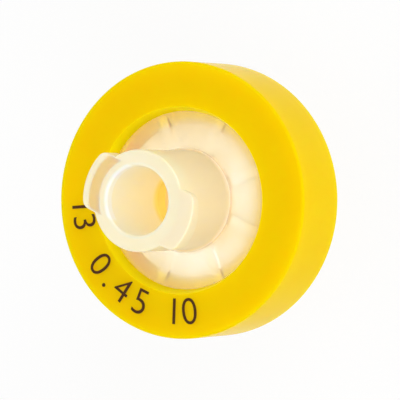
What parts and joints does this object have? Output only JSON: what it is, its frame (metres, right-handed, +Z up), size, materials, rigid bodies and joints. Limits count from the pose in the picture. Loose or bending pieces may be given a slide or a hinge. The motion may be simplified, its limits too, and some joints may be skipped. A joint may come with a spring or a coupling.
{
  "type": "syringe filter",
  "caption": "Disc filter for a syringe: luer-lock socket on top, tapered luer tip below, a membrane between two clear housings and a yellow ring moulded round their rims.",
  "frame": {"origin": "centre of the outlet tip's end face", "axes": "+Z up along the filter's axis, from the outlet tip to the inlet socket; +X through the middle of one lock lug"},
  "size_m": [0.0178, 0.0178, 0.019],
  "materials": {
    "natural_plastic": "translucent natural polypropylene, smooth",
    "membrane": "white porous nylon",
    "yellow_plastic": "glossy yellow polypropylene",
    "print": "dark brown pad-printed ink"
  },
  "bodies": {
    "root": {"inlet_housing": "natural_plastic", "outlet_housing": "natural_plastic", "membrane": "membrane", "overmould_ring": "yellow_plastic"}
  },
  "joints": []
}
